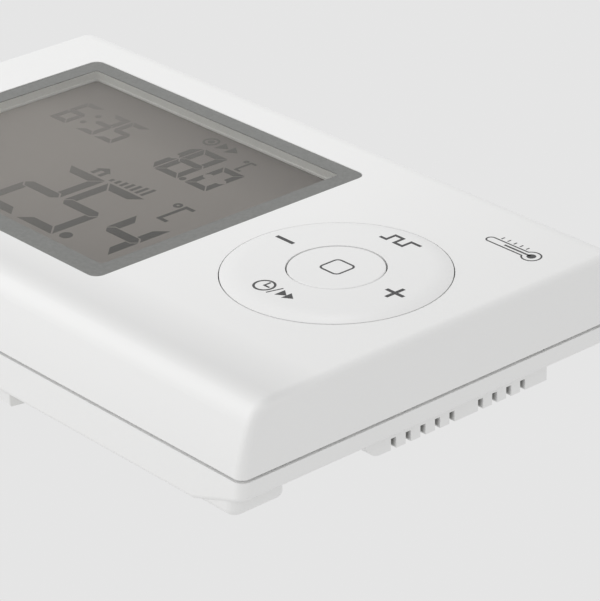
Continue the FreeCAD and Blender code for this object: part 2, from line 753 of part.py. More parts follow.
def centre_button():
    """Cup-shaped key with a flange that holds it in the collar, and a nub in its middle."""
    body = rod(BUTTON_R, BUTTON_FLANGE_TOP, KEY_FRONT, KEY_X, 0)
    body = body.fuse(rod(BUTTON_FLANGE_R, BUTTON_FLANGE_TOP - BUTTON_FLANGE, BUTTON_FLANGE_TOP, KEY_X, 0))
    body = body.cut(rod(BUTTON_R - SKIRT, 0, KEY_UNDER, KEY_X, 0)).removeSplitter()
    body = body.makeFillet(BUTTON_EDGE_R, circles_at(body, BUTTON_R, KEY_FRONT))
    nub = rod(BUTTON_NUB_R, DEPTH - NUB_DEPTH, KEY_UNDER + KEY_TOP / 4, KEY_X, 0)
    return body.fuse(nub).removeSplitter()


def key_backplate():
    """Plate over the keypad mat: gimbal bearings, guide collar, holes for the domes."""
    back = BOARD_FRONT + MAT
    front = back + KEYPLATE
    body = plate(KEYPLATE_SIZE, KEYPLATE_SIZE, KEYPLATE_R, back, front, KEY_X)
    body = body.fuse(rod(COLLAR_R, back, BUTTON_FLANGE_TOP + SLIP, KEY_X, 0))
    body = body.cut(rod(BUTTON_FLANGE_R + GUIDE_PLAY, 0, DEPTH, KEY_X, 0))
    for x, z in key_nubs():
        body = body.cut(rod(NUB_R + DOME_CLEAR, 0, DEPTH, x, z))
    for side in (-1, 1):
        top = PIVOT + PIN_R + BEARING_WALL
        body = body.fuse(bearing_block(KEY_X + side * BEARING_AT, 0, ALONG, front - KEYPLATE / 4, top))
    return body.removeSplitter()


def keypad_mat():
    """Silicone mat with a dome under each nub."""
    body = plate(KEYPLATE_SIZE, KEYPLATE_SIZE, KEYPLATE_R, BOARD_FRONT, BOARD_FRONT + MAT, KEY_X)
    rise = DEPTH - DOME_DEPTH - BOARD_FRONT
    for x, z in key_nubs() + [(KEY_X, 0)]:
        body = body.fuse(Part.makeCone(NUB_R + DOME_FLARE, NUB_R, rise, vec(x, BOARD_FRONT, z), OUT))
    return body.removeSplitter()


# ---------------------------------------------------------------------- board
def main_board():
    board = plate(BOARD_W, BOARD_H, BOARD_R, BOARD_BACK, BOARD_FRONT)
    for x, z in post_places():
        board = board.cut(rod(SMALL_SCREW_R + SCREW_PLAY, 0, DEPTH, x, z))
    return board


def board_screws():
    tip = INNER_FACE - THREAD_ROOM
    return group([screw(x, z, SMALL_SCREW_R, SCREW_HEAD_R, BOARD_BACK - SCREW_HEAD, SCREW_HEAD, tip)
                  for x, z in post_places()])


def on_board(width, height, tall, place, lift=0.0):
    """A block on the board's back, centred on a place."""
    near = BOARD_BACK - lift
    return block(width, height, near - tall, near, place[0], place[1])


def microcontroller():
    """Flat package with a row of legs on each side."""
    shapes = [on_board(MICRO, MICRO, MICRO_TALL, MICRO_AT, MICRO_LIFT)]
    x, z = MICRO_AT
    out = MICRO / 2 + LEG_LONG / 3
    for leg in range(LEGS):
        along = (leg - (LEGS - 1) / 2) * LEG_PITCH
        for side in (-1, 1):
            shapes.append(on_board(LEG_LONG, LEG_WIDE, LEG_WIDE, (x + side * out, z + along)))
            shapes.append(on_board(LEG_WIDE, LEG_LONG, LEG_WIDE, (x + along, z + side * out)))
    return union(shapes)


def crystal():
    return on_board(8.0, 3.4, 3.2, CRYSTAL_AT)


def relay():
    body = on_board(20.0, 15.0, 9.8, RELAY_AT)
    return body.makeFillet(RELAY_EDGE_R, [e for e in body.Edges if e.BoundBox.YMax > SAME - BOARD_BACK])


def capacitor():
    body = rod(CAP_R, BOARD_BACK - CAP_TALL, BOARD_BACK, *CAP_AT)
    return body.makeFillet(RELAY_EDGE_R, circles_at(body, CAP_R, BOARD_BACK - CAP_TALL))


def chip_parts():
    """A grid of ten chips beside the microcontroller and a row of four by the relay."""
    solids = []
    for row in range(2):
        for place in range(5):
            at = (CHIP_GRID_AT[0] + CHIP_PITCH * place, CHIP_GRID_AT[1] + CHIP_PITCH * row)
            solids.append(on_board(CHIP_LONG, CHIP_WIDE, CHIP_TALL, at))
    for place in range(4):
        at = (CHIP_ROW_AT[0] + CHIP_PITCH * place, CHIP_ROW_AT[1])
        solids.append(on_board(CHIP_WIDE, CHIP_LONG, CHIP_TALL, at))
    return group(solids)


def temperature_sensor():
    """Epoxy bead on two legs, behind the vent slots."""
    x = HALF_W - SENSOR_IN
    z = VENT_Z + SENSOR_UP
    depth = BOARD_BACK - SENSOR_TALL
    legs = [rod(SENSOR_LEG_R, depth, BOARD_BACK, x, z + side * SENSOR_R / 2) for side in (-1, 1)]
    return union([Part.makeSphere(SENSOR_R, vec(x, depth, z))] + legs)


def poles():
    return [TERM_PITCH * (pole - (TERM_POLES - 1) / 2) for pole in range(TERM_POLES)]


def terminal_block():
    """Block with square wire entries below and screw wells that open to the back."""
    body = on_board(TERM_POLES * TERM_PITCH + 2 * TERM_MARGIN, TERM_H, TERM_TALL, (0, TERM_Z))
    low = TERM_Z - TERM_H / 2
    for x in poles():
        entry = box(x - ENTRY_WIDE / 2, x + ENTRY_WIDE / 2, BOARD_BACK - ENTRY_HIGH, BOARD_BACK - ENTRY_LOW,
                    low - PAST, low + ENTRY_LONG)
        well = rod(WELL_R, TERM_BACK - PAST, BOARD_BACK - ENTRY_HIGH + SLIP, x, TERM_Z + WELL_Z)
        body = body.cut(entry).cut(well)
    return body


def terminal_clamps():
    """Square cages round the wire entries, each with a hole for its screw."""
    width = ENTRY_WIDE - 2 * CAGE_SLIP
    far = BOARD_BACK - ENTRY_HIGH + CAGE_SLIP
    near = BOARD_BACK - ENTRY_LOW - CAGE_SLIP
    low = TERM_Z - 2.0
    high = TERM_Z - TERM_H / 2 + ENTRY_LONG - CAGE_SLIP
    solids = []
    for x in poles():
        cage = box(x - width / 2, x + width / 2, far, near, low, high)
        inner = width / 2 - CAGE_WALL
        cage = cage.cut(box(x - inner, x + inner, far + 2 * CAGE_WALL, near - CAGE_WALL,
                            low - PAST, high - CAGE_WALL))
        hole = rod(CLAMP_SCREW_R + SLIP / 4, far - PAST, far + 3 * CAGE_WALL, x, TERM_Z + WELL_Z)
        solids.append(cage.cut(hole))
    return group(solids)


def terminal_screws():
    head_depth = TERM_BACK + DRIVE_DEEP
    tip = BOARD_BACK - ENTRY_HIGH + 3 * CAGE_WALL
    return group([screw(x, TERM_Z + WELL_Z, CLAMP_SCREW_R, CLAMP_HEAD_R, head_depth, CLAMP_HEAD_R, tip)
                  for x in poles()])


# ------------------------------------------------------------------ batteries
def cell_rows():
    """Height of each cell and the end that its nose points to."""
    return [(BAY_Z - CELL_PITCH / 2, 1), (BAY_Z + CELL_PITCH / 2, -1)]


def lying(radius, x0, x1, z):
    """A cylinder along X at the cells' depth."""
    return Part.makeCylinder(radius, x1 - x0, vec(x0, CELL_DEPTH, z), ALONG)


def battery_cells():
    solids = []
    for z, way in cell_rows():
        can = lying(CELL_R, -CELL_L / 2, CELL_L / 2 - CELL_NOSE, z)
        nose = lying(CELL_NOSE_R, CELL_L / 2 - 2 * CELL_NOSE, CELL_L / 2, z)
        cell = can.fuse(nose).removeSplitter()
        solids.append(both_sides(cell)[0 if way > 0 else 1])
    return group(solids)


def battery_plates():
    """Flat contacts against the bay's end walls, one at each cell end."""
    side = min(CONTACT_WIDE, 2 * CELL_R - CELL_PLAY)
    x = (BAY_L - CONTACT) / 2
    solids = []
    for z, way in cell_rows():
        for end in (-1, 1):
            solids.append(block(CONTACT, side, CELL_DEPTH - side / 2, CELL_DEPTH + side / 2, end * x, z))
    return group(solids)


def wire_rings(z, end, turns):
    """Rings of wire that shrink towards the cell, from the contact to the cell's end."""
    room = (BAY_L - CELL_L) / 2 - CONTACT
    pitch = (room - 2 * SPRING_WIRE_R - SPRING_CLEAR) / (turns - 1)
    rings = []
    for turn in range(turns):
        x = end * (BAY_L / 2 - CONTACT - SPRING_WIRE_R - turn * pitch)
        radius = SPRING_R - SPRING_TAPER * turn
        rings.append(Part.makeTorus(radius, SPRING_WIRE_R, vec(x, CELL_DEPTH, z), ALONG))
    return rings


def battery_springs():
    """A spring at each cell's flat end and a shorter one at its nose."""
    solids = []
    for z, way in cell_rows():
        solids += wire_rings(z, -way, SPRING_TURNS)
        solids += wire_rings(z, way, STUD_TURNS)
    return group(solids)


# ----------------------------------------------------------------- wall plate
def slotted_hole(x, z, level, widen, d0, d1):
    """Round-ended hole, longer along X when level, widened all round for its sunk step."""
    radius = HOLE_R + widen
    shift = SLOT_LONG / 2 - HOLE_R
    dx, dz = (shift, 0) if level else (0, shift)
    middle = block(2 * max(dx, radius * (not level)), 2 * max(dz, radius * level), d0, d1, x, z)
    return union([middle, rod(radius, d0, d1, x - dx, z - dz), rod(radius, d0, d1, x + dx, z + dz)])


def hook(x, z):
    """Neck through the rear shell's floor and a wider head behind it."""
    under_head = FLOOR + HOOK_PLAY
    neck = block(HOOK_W, HOOK_T, PLATE - OVERLAP, under_head + HOOK_HEAD / 2, x, z)
    return [neck, block(HOOK_HEAD_W, HOOK_T, under_head, under_head + HOOK_HEAD, x, z)]


def plate_tab(side):
    """Tab below or above the plate, with ends that slope in towards the wall."""
    half = TAB_W / 2
    root = PLATE_H / 2 - TAB_ROOT
    outline = [
        vec(-half, PLATE, side * root),
        vec(half, PLATE, side * root),
        vec(half - TAB_SLOPE, 0, side * root),
        vec(-half + TAB_SLOPE, 0, side * root),
    ]
    return prism(outline, UP * (side * (TAB_ROOT + TAB_OUT)))


def wall_plate():
    """Plate with slotted screw holes, a cable opening, two tabs and four hooks."""
    solids = [plate(PLATE_W, PLATE_H, PLATE_R, 0, PLATE), plate_tab(-1), plate_tab(1)]
    for x, z in hook_places():
        solids += hook(x, z)
    body = union(solids).cut(plate(CABLE_W, CABLE_H, CABLE_R, -PAST, PLATE + PAST, 0, CABLE_Z))
    for side in (-1, 1):
        at = side * HOLE_PITCH / 2
        for x, z, level in ((at, 0, True), (0, at, False)):
            body = body.cut(slotted_hole(x, z, level, 0, -PAST, PLATE + PAST))
            body = body.cut(slotted_hole(x, z, level, SINK_WIDE, PLATE - SINK_DEEP, PLATE + PAST))
    return body.removeSplitter()


PIECES = {
    "wall_plate": wall_plate,
    "rear_housing": rear_housing,
    "front_cover": front_cover,
    "housing_screws": housing_screws,
    "window_film": window_film,
    "display_window": display_window,
    "lcd_frame": lcd_frame,
    "lcd_panel": lcd_panel,
    "light_guide": light_guide,
    "backlight_leds": backlight_leds,
    "zebra_strips": zebra_strips,
    "nav_ring": nav_ring,
    "ring_gimbal": ring_gimbal,
    "centre_button": centre_button,
    "key_backplate": key_backplate,
    "keypad_mat": keypad_mat,
    "main_board": main_board,
    "board_screws": board_screws,
    "microcontroller": microcontroller,
    "crystal": crystal,
    "relay": relay,
    "capacitor": capacitor,
    "chip_parts": chip_parts,
    "temperature_sensor": temperature_sensor,
    "terminal_block": terminal_block,
    "terminal_clamps": terminal_clamps,
    "terminal_screws": terminal_screws,
    "battery_cells": battery_cells,
    "battery_springs": battery_springs,
    "battery_plates": battery_plates,
}

os.makedirs("parts", exist_ok=True)
for name, make in PIECES.items():
    save(make(), name)
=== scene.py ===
# %% [markdown]
# # A wall thermostat in white plastic
# The parts of this thermostat come in as finished CAD meshes, already in place and in metres. X runs to the
# right along the unit, Z up the wall and Y into the wall, so the display faces -Y. This script gives every
# part its finish, adds the thin things that CAD leaves out, such as printed symbols and the display's digits,
# and lights the result. It can be read from top to bottom like a notebook.

# %% Load the frame
import math

import bpy
import bmesh
from mathutils import Matrix, Vector


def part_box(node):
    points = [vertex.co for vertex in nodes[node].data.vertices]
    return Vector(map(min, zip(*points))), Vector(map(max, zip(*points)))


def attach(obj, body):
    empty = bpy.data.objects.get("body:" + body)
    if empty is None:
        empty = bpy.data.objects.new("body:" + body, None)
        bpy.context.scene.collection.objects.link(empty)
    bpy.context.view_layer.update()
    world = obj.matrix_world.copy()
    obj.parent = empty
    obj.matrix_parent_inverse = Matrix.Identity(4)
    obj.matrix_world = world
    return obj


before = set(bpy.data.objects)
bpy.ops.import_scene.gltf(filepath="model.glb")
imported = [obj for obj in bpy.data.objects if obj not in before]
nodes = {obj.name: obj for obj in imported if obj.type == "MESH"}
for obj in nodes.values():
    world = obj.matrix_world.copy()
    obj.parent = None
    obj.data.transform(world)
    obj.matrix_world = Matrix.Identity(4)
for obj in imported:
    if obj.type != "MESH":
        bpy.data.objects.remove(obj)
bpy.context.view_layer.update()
MM = 0.001

# %% [markdown]
# ## Reading places from the parts
# Ink has to lie exactly on a surface, so the front of each part that carries print is read from its own box, and
# the key symbols are also centred on the ring's box. The digits, the cover's mark and the masks in the finishes
# are given from the part's origin, the middle of the wall plate, so they would need new numbers if the display
# or the vents moved.

# %% Measure the parts that carry print
def centre_of(node):
    low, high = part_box(node)
    return Vector((low[i] + high[i]) / 2 for i in range(3))


def front_of(node):
    """The Y of a part's foremost surface."""
    return min(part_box(node)[0][1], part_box(node)[1][1])


KEY = centre_of("nav_ring")
RING_FRONT = front_of("nav_ring")
BUTTON_FRONT = front_of("centre_button")
GLASS_FRONT = front_of("lcd_panel")
COVER_FRONT = front_of("front_cover")
PANE_FRONT = front_of("display_window")
print("key centre", [round(v, 4) for v in KEY], "glass front", round(GLASS_FRONT, 4))

# %% [markdown]
# ## Shader sums as Python
# A node tree is easier to read as a formula. Value wraps one output socket, and each operator on it adds a
# Math node and returns the new output, so 0.4 + grain * 0.1 builds two nodes. Finish holds one material, and
# its node method adds any other kind of node: the type first, then its settings, then its sockets. A socket is
# named with _ for a space, or numbered as i0, i1 and so on where several share a name.

# %% Wrap sockets and node trees
class Value:
    def __init__(self, tree, socket):
        self.tree = tree
        self.socket = socket

    def math(self, operation, first, second):
        node = self.tree.nodes.new("ShaderNodeMath")
        node.operation = operation
        for slot, item in zip(node.inputs, (first, second)):
            if isinstance(item, Value):
                self.tree.links.new(item.socket, slot)
            else:
                slot.default_value = item
        return Value(self.tree, node.outputs[0])

    def __add__(self, other):
        return self.math("ADD", self, other)

    def __radd__(self, other):
        return self.math("ADD", other, self)

    def __rsub__(self, other):
        return self.math("SUBTRACT", other, self)

    def __mul__(self, other):
        return self.math("MULTIPLY", self, other)

    def __truediv__(self, other):
        return self.math("DIVIDE", self, other)

    def __gt__(self, other):
        return self.math("GREATER_THAN", self, other)


class Finish:
    def __init__(self, name, **constants):
        self.material = bpy.data.materials.new(name)
        self.material.use_nodes = True
        self.tree = self.material.node_tree
        self.shader = self.tree.nodes["Principled BSDF"]
        self.output = self.tree.nodes["Material Output"]
        for socket, value in constants.items():
            self.shader.inputs[socket.replace("_", " ")].default_value = value

    def node(self, kind, settings=None, out=0, **sockets):
        made = self.tree.nodes.new(kind)
        for key, value in (settings or {}).items():
            setattr(made, key, value)
        for key, value in sockets.items():
            numbered = key[0] == "i" and key[1:].isdigit()
            self.plug(made.inputs[int(key[1:]) if numbered else key.replace("_", " ")], value)
        return Value(self.tree, made.outputs[out])

    def plug(self, slot, value):
        if isinstance(value, Value):
            self.tree.links.new(value.socket, slot)
        else:
            slot.default_value = value

    def feed(self, socket, value):
        self.plug(self.shader.inputs[socket], value)

    def place(self):
        """Where a point is on the part, in metres."""
        return self.node("ShaderNodeTexCoord", out=3)

    def axis(self, number):
        """One coordinate of the point: 0 for X, 1 for Y, 2 for Z."""
        return self.node("ShaderNodeSeparateXYZ", out=number, Vector=self.place())

    def noise(self, scale, detail=2.0, roughness=0.5):
        return self.node("ShaderNodeTexNoise", Vector=self.place(), Scale=scale, Detail=detail, Roughness=roughness)

    def tint(self, factor, dark, light):
        """A colour between two, by a factor from 0 to 1."""
        return self.node("ShaderNodeMix", {"data_type": "RGBA"}, out=2, i0=factor, i6=(*dark, 1), i7=(*light, 1))

    def darken(self, colour, factor, shade):
        """The colour multiplied by a shade, by a factor from 0 to 1."""
        return self.node("ShaderNodeMix", {"data_type": "RGBA", "blend_type": "MULTIPLY"}, out=2,
                         i0=factor, i6=colour, i7=(*shade, 1))

    def ramp(self, value, start, end):
        """0 at start, 1 at end, straight between and level beyond."""
        return self.node("ShaderNodeMapRange", Value=value, From_Min=start, From_Max=end)

    def within(self, value, low, high):
        """1 inside a span and 0 outside. Each end says where its fade starts and where it is complete."""
        return self.ramp(value, *low) * self.ramp(value, *high)

    def bump(self, height, distance, strength=1.0):
        self.feed("Normal", self.node("ShaderNodeBump", Strength=strength, Distance=distance, Height=height))


def wear(finish, *names):
    """Give a finish to carried-over CAD parts."""
    for name in names:
        mesh = nodes[name].data
        mesh.materials.clear()
        mesh.materials.append(finish.material)


print("ready to build finishes")

# %% [markdown]
# ## White moulded shells
# The casing is ABS straight from a fine spark-eroded mould: a satin white with a very fine grain, too small to
# see from a step away but enough to soften its highlights. A fine noise drives a shallow bump for the grain,
# and a broad one shifts colour and gloss by a hair, because a real moulding is never perfectly even. The insides
# of the vent slots and the tucked-in end of the lower tab get painted shade: their colour is darkened there.

# %% Shell plastic
GRAIN = 0.00016
WHITE = (0.86, 0.86, 0.855)
SATIN = 0.42


def moulded(name, light, roughness, grain=GRAIN, depth=0.000006):
    """Moulded plastic; returns the finish and its colour."""
    finish = Finish(name, Roughness=roughness, IOR=1.53)
    broad = finish.noise(35.0, 3.0)
    dark = tuple(c * 0.985 for c in light)
    colour = finish.tint(broad, dark, light)
    finish.feed("Base Color", colour)
    finish.feed("Roughness", roughness - 0.03 + broad * 0.06)
    finish.bump(finish.noise(1 / grain, 3.0), depth)
    return finish, colour


# Painted shade: the colour of the lower tab's tucked-in end is darkened where the unit shadows it.
TAB_END_X = (0.0088, 0.0094)
TAB_END_Z = (-0.040, -0.041)
plate, plate_colour = moulded("plate_white", WHITE, SATIN)
tab_end_shade = plate.ramp(plate.axis(0), *TAB_END_X) * plate.ramp(plate.axis(2), *TAB_END_Z)
plate.feed("Base Color", plate.darken(plate_colour, tab_end_shade, (0.74, 0.74, 0.73)))
wear(plate, "wall_plate")

# Painted shade: the colour inside the vent slots is darkened where shadow falls in them.
SLOTS_X = ((0.0648, 0.0652), (0.0709, 0.0701))
SLOTS_Y = ((-0.0059, -0.0057), (-0.0036, -0.0038))
SLOTS_Z = ((-0.0125, -0.0120), (0.0225, 0.0220))
shell, shell_colour = moulded("shell_white", WHITE, SATIN)
side = shell.node("ShaderNodeMath", {"operation": "ABSOLUTE"}, i0=shell.axis(0))
slot_shade = shell.within(side, *SLOTS_X) * shell.within(shell.axis(1), *SLOTS_Y)
slot_shade = slot_shade * shell.within(shell.axis(2), *SLOTS_Z)
shell.feed("Base Color", shell.darken(shell_colour, slot_shade, (0.32, 0.32, 0.31)))
wear(shell, "rear_housing")
print(plate.material.name, shell.material.name)

# %% [markdown]
# ## Painted shade on the cover's face
# Towards its lower long edge the face gets painted shade: its white is darkened to a pale grey before the
# shoulder catches the light. Two ramps make a mask for it, one across the face and one
# that ends where the shoulder turns away.

# %% Cover plastic
# Painted shade: the face's colour is darkened towards its lower long edge.
EDGE_SHADE = 0.885
EDGE_SHADE_Z = (-0.027, -0.037)
cover, cover_colour = moulded("cover_white", WHITE, SATIN)
shade_near_edge = cover.ramp(cover.axis(2), *EDGE_SHADE_Z)
on_face = cover.ramp(cover.axis(1), COVER_FRONT + 0.0011, COVER_FRONT + 0.0001)
cover.feed("Base Color", cover.darken(cover_colour, shade_near_edge * on_face, (EDGE_SHADE, EDGE_SHADE, EDGE_SHADE)))
wear(cover, "front_cover")
print(cover.material.name)

# %% [markdown]
# ## White keys
# The ring and the centre key are moulded in nearly the same white, a hair darker, but polished a little finer,
# as a fingertip would notice.

# %% Key plastic
keys, _ = moulded("key_white", (0.850, 0.850, 0.846), 0.36, GRAIN * 0.8, 0.000004)
wear(keys, "nav_ring", "centre_button")
print(keys.material.name)

# %% [markdown]
# ## The display's border
# A grey frame is screen printed on the window. Screen ink lies flat, with a faint mesh of the screen in it, so
# it gets a fine wave of brightness rather than any relief.

# %% Printed border
border = Finish("border_print", Roughness=0.38, IOR=1.5)
speckle = border.noise(1700.0, 2.0, 0.7)
border.feed("Base Color", border.tint(speckle, (0.115, 0.116, 0.112), (0.215, 0.219, 0.208)))
border.feed("Roughness", 0.34 + speckle * 0.08)
wear(border, "window_film")
print(border.material.name)

# %% [markdown]
# ## Clear pane
# The acrylic pane hardly shows except for what it mirrors. Real refraction would cost many samples for no
# visible gain, so the pane mixes a transparent and a glossy shader. A Fresnel node sets how much is mirrored,
# little from the front and more at a grazing angle, and only the front surface mirrors: the back one would add
# a second, false image.

# %% Clear acrylic
PANE_MIRROR = 0.5
pane = Finish("clear_pane")
gloss = pane.node("ShaderNodeBsdfGlossy", Color=(1, 1, 1, 1), Roughness=0.12)
clear = pane.node("ShaderNodeBsdfTransparent", Color=(0.97, 0.97, 0.96, 1))
fresnel = pane.node("ShaderNodeFresnel", IOR=1.45)
outside = (PANE_FRONT + 0.0001) - pane.axis(1) > 0.0
mirrored = outside * fresnel * PANE_MIRROR
mixed = pane.node("ShaderNodeMixShader", i0=mirrored, i1=clear, i2=gloss)
pane.tree.links.new(mixed.socket, pane.output.inputs[0])
wear(pane, "display_window")
print(pane.material.name)

# %% [markdown]
# ## Display glass
# The glass is a reflective liquid crystal display behind a matt polariser. Its grey is slightly warm, with the
# fine sparkle of the reflector foil behind it. Painted shade darkens its colour towards the top, under the frame, and
# towards the right.

# %% Liquid crystal glass
glass = Finish("lcd_grey", Roughness=0.45, IOR=1.45)
foil = glass.noise(1800.0, 2.0)
cloud = glass.noise(25.0, 1.0)
even = glass.tint(foil * 0.5 + cloud * 0.5, (0.270, 0.249, 0.237), (0.314, 0.290, 0.276))
# Painted shade: the glass colour is darkened under the frame's top rim and towards the keys on the right.
glass_right, _, glass_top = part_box("lcd_panel")[1]
rim_shade = glass.ramp(glass.axis(2), glass_top - 0.019, glass_top - 0.003)
keys_side_shade = glass.ramp(glass.axis(0), glass_right - 0.050, glass_right)
shade = rim_shade * 0.75 + keys_side_shade * 0.42
glass.feed("Base Color", glass.darken(even, shade, (0.58, 0.57, 0.57)))
glass.feed("Roughness", 0.4 + foil * 0.1)
wear(glass, "lcd_panel")
print(glass.material.name)

# %% [markdown]
# ## Plain finishes for the inner parts
# What sits behind the covers still gets its own finish, because the unit can be seen through its vents and its
# cable opening, and each part may be used by itself. One helper makes a speckled plastic and another a metal
# with a drawn or plated grain.

# %% Inner plastics and metals
def speckled(name, dark, light, roughness, scale=900.0, depth=0.000004):
    finish = Finish(name, Roughness=roughness)
    grain = finish.noise(scale, 3.0)
    finish.feed("Base Color", finish.tint(grain, dark, light))
    finish.feed("Roughness", roughness - 0.04 + grain * 0.08)
    finish.bump(grain, depth)
    return finish


def metal(name, light, roughness, stretch=(1, 1, 1), scale=1500.0):
    finish = Finish(name, Metallic=1.0, Roughness=roughness)
    line = finish.node("ShaderNodeVectorMath", {"operation": "MULTIPLY"}, i0=finish.place(), i1=stretch)
    grain = finish.node("ShaderNodeTexNoise", Vector=line, Scale=scale, Detail=3.0)
    dark = tuple(c * 0.82 for c in light)
    finish.feed("Base Color", finish.tint(grain, dark, light))
    finish.feed("Roughness", roughness - 0.06 + grain * 0.14)
    finish.bump(grain, 0.000003)
    return finish


wear(speckled("carrier_white", (0.78, 0.78, 0.77), (0.83, 0.83, 0.82), 0.5), "lcd_frame")
wear(speckled("acetal_grey", (0.30, 0.31, 0.32), (0.36, 0.37, 0.38), 0.4), "ring_gimbal", "key_backplate")
wear(speckled("silicone_grey", (0.52, 0.52, 0.51), (0.60, 0.60, 0.59), 0.55), "keypad_mat")
wear(speckled("epoxy_black", (0.012, 0.012, 0.014), (0.03, 0.03, 0.033), 0.5), "microcontroller", "temperature_sensor")
wear(speckled("relay_blue", (0.010, 0.060, 0.210), (0.018, 0.080, 0.260), 0.3), "relay")
wear(speckled("terminal_green", (0.03, 0.20, 0.07), (0.04, 0.25, 0.09), 0.42), "terminal_block")
wear(speckled("guide_frost", (0.80, 0.82, 0.84), (0.88, 0.90, 0.92), 0.3), "light_guide")
wear(speckled("led_yellow", (0.80, 0.72, 0.30), (0.90, 0.84, 0.45), 0.25), "backlight_leds")
wear(speckled("chip_brown", (0.20, 0.14, 0.09), (0.34, 0.27, 0.19), 0.45, 700.0), "chip_parts")
wear(metal("plated_steel", (0.62, 0.62, 0.60), 0.30), "housing_screws", "board_screws", "terminal_screws")
wear(metal("spring_nickel", (0.66, 0.64, 0.60), 0.28, (0.1, 1, 1)), "battery_springs", "battery_plates")
wear(metal("clamp_brass", (0.72, 0.55, 0.26), 0.32), "terminal_clamps")
wear(metal("crystal_can", (0.70, 0.70, 0.69), 0.25, (0.05, 1, 1)), "crystal")
print("inner parts done")

# %% [markdown]
# ## Finishes with a pattern
# Four parts carry a pattern that tells what they are: the board's copper tracks under green resist, the
# stripes of the elastomer connectors, the sleeve of a cell and the capacitor's sleeve with its bare top. Each
# is one or two masks worked out from the point's place on the part.

# %% Board, connectors, cells and capacitor
board = Finish("board_green", Roughness=0.3)
tracks = board.node("ShaderNodeTexBrick", {"offset": 0.5}, out=1, Vector=board.place(), Scale=160.0,
                    Mortar_Size=0.03)
board.feed("Base Color", board.tint(tracks, (0.012, 0.115, 0.045), (0.035, 0.20, 0.085)))
board.feed("Roughness", 0.28 + board.noise(400.0) * 0.1)
board.bump(tracks, 0.00003, 0.5)
wear(board, "main_board")

zebra = Finish("zebra_stripes", Roughness=0.6)
stripe = zebra.node("ShaderNodeMath", {"operation": "FRACT"}, i0=zebra.axis(0) / 0.0002) > 0.5
zebra.feed("Base Color", zebra.tint(stripe, (0.05, 0.05, 0.05), (0.75, 0.75, 0.72)))
wear(zebra, "zebra_strips")

CELL_BAND = 0.010
CELL_BARE = 0.0212
cell = Finish("cell_jacket", Roughness=0.28)
along = cell.node("ShaderNodeMath", {"operation": "ABSOLUTE"}, i0=cell.axis(0))
bare = along > CELL_BARE
band = along > CELL_BAND
jacket = cell.tint(band, (0.02, 0.12, 0.05), (0.55, 0.56, 0.55))
cell.feed("Base Color", cell.node("ShaderNodeMix", {"data_type": "RGBA"}, out=2, i0=bare, i6=jacket,
                                  i7=(0.70, 0.69, 0.66, 1)))
cell.feed("Metallic", bare * 0.9)
cell.feed("Roughness", 0.24 + cell.noise(300.0) * 0.08)
wear(cell, "battery_cells")

cap = Finish("capacitor_sleeve", Roughness=0.35)
CAP_TOP = 0.0006
top = cap.axis(1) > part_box("capacitor")[1][1] - CAP_TOP
cap.feed("Base Color", cap.tint(top, (0.015, 0.015, 0.03), (0.72, 0.72, 0.71)))
cap.feed("Metallic", top * 1.0)
cap.feed("Roughness", 0.3 + cap.noise(500.0) * 0.1)
wear(cap, "capacitor")
print("patterned parts done")

# %% [markdown]
# ## Drawing flat symbols
# Printed symbols and display segments are ink: flat shapes a few hundredths of a millimetre thick. They could
# be painted by a texture, but real geometry stays crisp at any distance. Shapes are listed in millimetres in
# the plane of the face, with x to the right and z up, and each becomes a thin closed slab.

